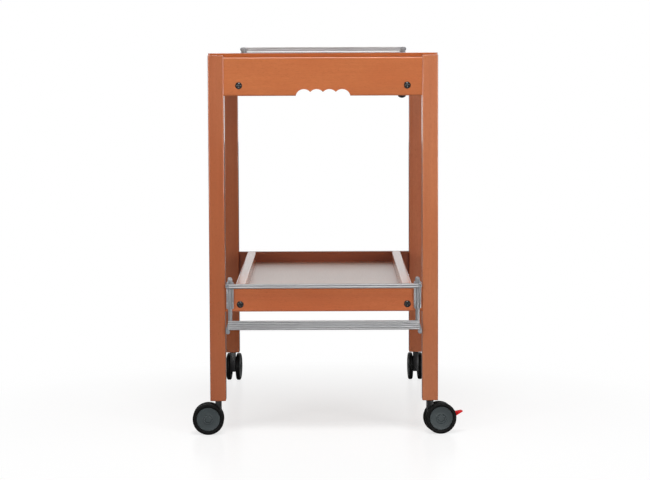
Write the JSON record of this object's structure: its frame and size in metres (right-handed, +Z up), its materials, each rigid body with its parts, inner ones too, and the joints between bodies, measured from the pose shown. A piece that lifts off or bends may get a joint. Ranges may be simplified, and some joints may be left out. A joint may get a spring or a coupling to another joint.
{
  "type": "kitchen trolley",
  "caption": "Wooden kitchen trolley with a worktop, an open tray below, sliding metal rails at its ends and swivel casters with red brake levers.",
  "frame": {"origin": "on the floor, at the centre of the outline seen from above, casters and levers included", "axes": "+Z up; -Y towards the narrow end with the finger grip and the lower gallery; +X to the right when seen from that end"},
  "size_m": [0.5862, 0.867, 0.8342],
  "materials": {
    "frame_wood": "satin varnish over reddish-brown stain",
    "board_wood": "satin varnish over reddish-brown stain",
    "dowel_wood": "unfinished",
    "black_steel": "satin black",
    "zinc_steel": "zinc plated",
    "light_metal": "satin",
    "grey_plastic": "satin",
    "sleeve_plastic": "matt",
    "black_plastic": "satin",
    "tyre": "matt",
    "hub_plastic": "satin",
    "red_plastic": "satin"
  },
  "bodies": {
    "frame": {"front_left_leg": "frame_wood", "front_right_leg": "frame_wood", "rear_left_leg": "frame_wood", "rear_right_leg": "frame_wood", "top_board": "board_wood", "front_apron": "frame_wood", "rear_apron": "frame_wood", "left_top_rail": "frame_wood", "right_top_rail": "frame_wood", "front_tray_rail": "frame_wood", "rear_tray_rail": "frame_wood", "left_tray_rail": "frame_wood", "right_tray_rail": "frame_wood", "tray_panel": "board_wood", "frame_bolts": "black_steel", "barrel_nuts": "zinc_steel", "dowels": "dowel_wood", "top_screws": "zinc_steel", "rail_knob": "black_plastic", "lower_guides": "light_metal", "upper_guides": "light_metal", "guide_screws": "zinc_steel", "caster_stems": "zinc_steel", "stem_sleeves": "sleeve_plastic"},
    "lower_gallery": {"lower_gallery_rod": "light_metal", "lower_gallery_bars": "light_metal", "lower_gallery_foot": "light_metal", "lower_gallery_plugs": "grey_plastic"},
    "upper_gallery": {"upper_gallery_rod": "light_metal", "upper_gallery_bars": "light_metal", "upper_gallery_foot": "light_metal", "upper_gallery_plugs": "grey_plastic"},
    "front_left_caster": {"front_left_caster_body": "black_plastic", "front_left_axle": "zinc_steel"},
    "front_left_wheel_a": {"front_left_tyre_a": "tyre", "front_left_hub_a": "hub_plastic"},
    "front_left_wheel_b": {"front_left_tyre_b": "tyre", "front_left_hub_b": "hub_plastic"},
    "front_right_caster": {"front_right_caster_body": "black_plastic", "front_right_axle": "zinc_steel"},
    "front_right_wheel_a": {"front_right_tyre_a": "tyre", "front_right_hub_a": "hub_plastic"},
    "front_right_wheel_b": {"front_right_tyre_b": "tyre", "front_right_hub_b": "hub_plastic"},
    "rear_left_caster": {"rear_left_caster_body": "black_plastic", "rear_left_axle": "zinc_steel"},
    "rear_left_wheel_a": {"rear_left_tyre_a": "tyre", "rear_left_hub_a": "hub_plastic"},
    "rear_left_wheel_b": {"rear_left_tyre_b": "tyre", "rear_left_hub_b": "hub_plastic"},
    "rear_right_caster": {"rear_right_caster_body": "black_plastic", "rear_right_axle": "zinc_steel"},
    "rear_right_wheel_a": {"rear_right_tyre_a": "tyre", "rear_right_hub_a": "hub_plastic"},
    "rear_right_wheel_b": {"rear_right_tyre_b": "tyre", "rear_right_hub_b": "hub_plastic"},
    "front_right_brake": {"front_right_brake_lever": "red_plastic"},
    "rear_left_brake": {"rear_left_brake_lever": "red_plastic"}
  },
  "joints": [
    {"name": "lower_gallery_slide", "type": "slide", "parent": "frame", "child": "lower_gallery", "axis": [0, 0, 1], "range_m": [0, 0.0136]},
    {"name": "upper_gallery_slide", "type": "slide", "parent": "frame", "child": "upper_gallery", "axis": [0, 0, 1], "range_m": [-0.0136, 0]},
    {"name": "front_left_swivel", "type": "hinge", "parent": "frame", "child": "front_left_caster", "pos_m": [-0.23646, -0.40451, 0.06], "axis": [0, 0, 1], "continuous": true},
    {"name": "front_left_spin_a", "type": "hinge", "parent": "front_left_caster", "child": "front_left_wheel_a", "pos_m": [-0.25845, -0.4049, 0.034], "axis": [0.0175, -0.9998, 0], "continuous": true},
    {"name": "front_left_spin_b", "type": "hinge", "parent": "front_left_caster", "child": "front_left_wheel_b", "pos_m": [-0.25845, -0.4049, 0.034], "axis": [0.0175, -0.9998, 0], "continuous": true},
    {"name": "front_right_swivel", "type": "hinge", "parent": "frame", "child": "front_right_caster", "pos_m": [0.22154, -0.40451, 0.06], "axis": [0, 0, 1], "continuous": true},
    {"name": "front_right_spin_a", "type": "hinge", "parent": "front_right_caster", "child": "front_right_wheel_a", "pos_m": [0.24321, -0.40069, 0.034], "axis": [-0.1736, 0.9848, 0], "continuous": true},
    {"name": "front_right_spin_b", "type": "hinge", "parent": "front_right_caster", "child": "front_right_wheel_b", "pos_m": [0.24321, -0.40069, 0.034], "axis": [-0.1736, 0.9848, 0], "continuous": true},
    {"name": "front_right_brake_tip", "type": "hinge", "parent": "front_right_caster", "child": "front_right_brake", "pos_m": [0.25897, -0.39791, 0.04745], "axis": [-0.1736, 0.9848, 0], "range_deg": [0, 12]},
    {"name": "rear_left_swivel", "type": "hinge", "parent": "frame", "child": "rear_left_caster", "pos_m": [-0.23646, 0.36149, 0.06], "axis": [0, 0, 1], "continuous": true},
    {"name": "rear_left_spin_a", "type": "hinge", "parent": "rear_left_caster", "child": "rear_left_wheel_a", "pos_m": [-0.23454, 0.3834, 0.034], "axis": [-0.9962, 0.0872, 0], "continuous": true},
    {"name": "rear_left_spin_b", "type": "hinge", "parent": "rear_left_caster", "child": "rear_left_wheel_b", "pos_m": [-0.23454, 0.3834, 0.034], "axis": [-0.9962, 0.0872, 0], "continuous": true},
    {"name": "rear_left_brake_tip", "type": "hinge", "parent": "rear_left_caster", "child": "rear_left_brake", "pos_m": [-0.23314, 0.39934, 0.04745], "axis": [-0.9962, 0.0872, 0], "range_deg": [0, 12]},
    {"name": "rear_right_swivel", "type": "hinge", "parent": "frame", "child": "rear_right_caster", "pos_m": [0.22154, 0.36149, 0.06], "axis": [0, 0, 1], "continuous": true},
    {"name": "rear_right_spin_a", "type": "hinge", "parent": "rear_right_caster", "child": "rear_right_wheel_a", "pos_m": [0.22039, 0.38346, 0.034], "axis": [-0.9986, -0.0523, 0], "continuous": true},
    {"name": "rear_right_spin_b", "type": "hinge", "parent": "rear_right_caster", "child": "rear_right_wheel_b", "pos_m": [0.22039, 0.38346, 0.034], "axis": [-0.9986, -0.0523, 0], "continuous": true}
  ]
}
